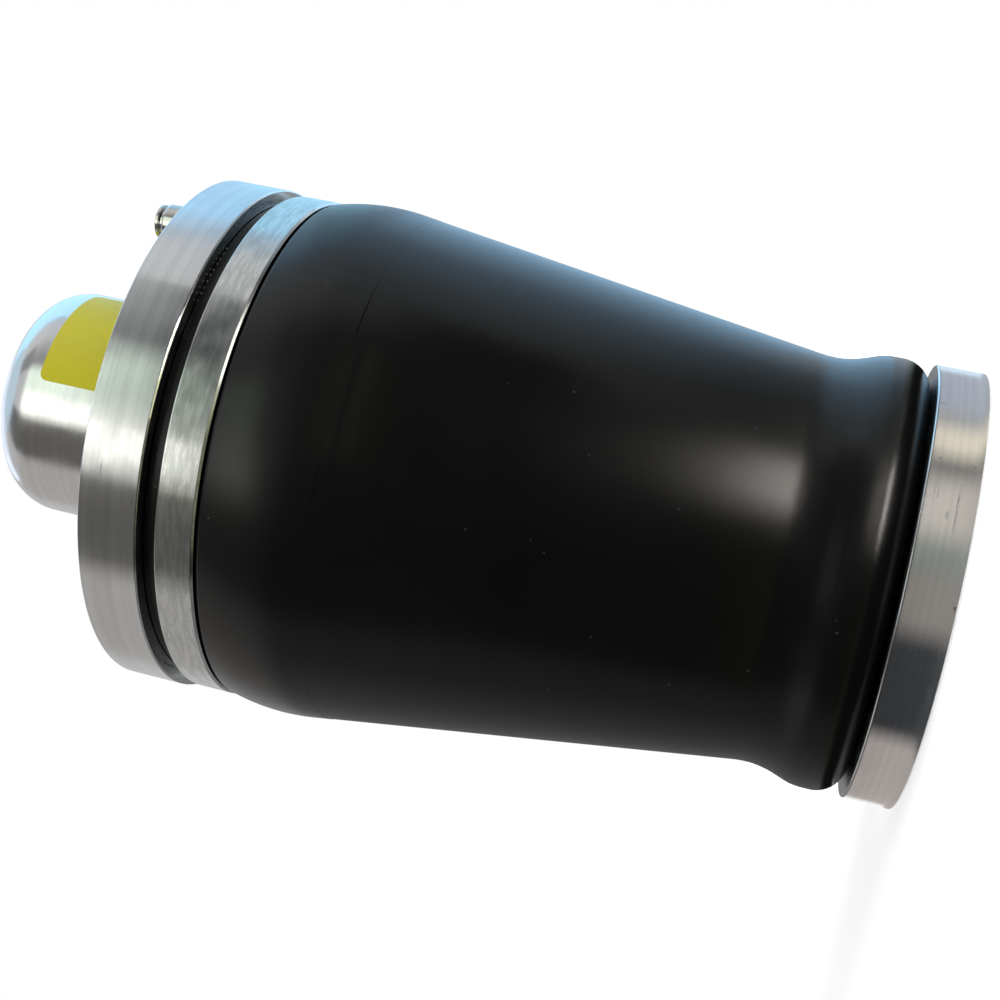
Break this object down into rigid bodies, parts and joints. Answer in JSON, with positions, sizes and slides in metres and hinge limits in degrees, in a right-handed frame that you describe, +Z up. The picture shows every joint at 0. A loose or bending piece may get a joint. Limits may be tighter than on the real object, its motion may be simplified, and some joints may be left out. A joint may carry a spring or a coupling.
{
  "type": "air suspension spring",
  "caption": "Rolling-lobe air spring: tapered rubber sleeve crimped between a capped aluminium top plate and a hollow piston on an aluminium base plate, with a push-in air fitting.",
  "frame": {"origin": "centre of the underside of the base plate, at the spring's shortest height", "axes": "+Z up the spring's axis from the base plate to the top cap, +X towards the air fitting"},
  "size_m": [0.1616, 0.1616, 0.2905],
  "materials": {
    "turned_aluminium": "fine turned",
    "ring_metal": "grained, satin",
    "cap_aluminium": "smooth satin",
    "sleeve_rubber": "satin",
    "seal_rubber": "smooth",
    "piston_plastic": "moulded",
    "strike_plastic": "turned",
    "bumper_foam": "foam, matte",
    "zinc_steel": "zinc plated",
    "spring_steel": "oiled",
    "nickel_brass": "nickel plated"
  },
  "bodies": {
    "base": {"base_plate": "turned_aluminium", "piston": "piston_plastic", "piston_screws": "zinc_steel", "strike_plate": "strike_plastic", "strike_screw": "zinc_steel", "lower_crimp_ring": "ring_metal"},
    "top": {"top_plate": "turned_aluminium", "upper_crimp_ring": "ring_metal", "top_cap": "cap_aluminium", "sleeve": "sleeve_rubber", "cap_seal": "seal_rubber", "fitting_seal": "seal_rubber", "tube_seal": "seal_rubber", "jounce_bumper": "bumper_foam", "bumper_screw": "zinc_steel", "bumper_washer": "zinc_steel", "bumper_seat": "zinc_steel", "cap_retaining_ring": "spring_steel", "grab_ring": "spring_steel", "fitting_body": "nickel_brass"},
    "collar": {"release_collar": "nickel_brass"}
  },
  "joints": [
    {"name": "stroke", "type": "slide", "parent": "base", "child": "top", "axis": [0, 0, 1], "range_m": [0, 0.13], "stiffness_N_per_m": 2500, "deforming": ["sleeve"]},
    {"name": "collar_press", "type": "slide", "parent": "top", "child": "collar", "axis": [0, 0, -1], "range_m": [0, 0.0008], "stiffness_N_per_m": 600, "springref_m": -0.0005}
  ]
}
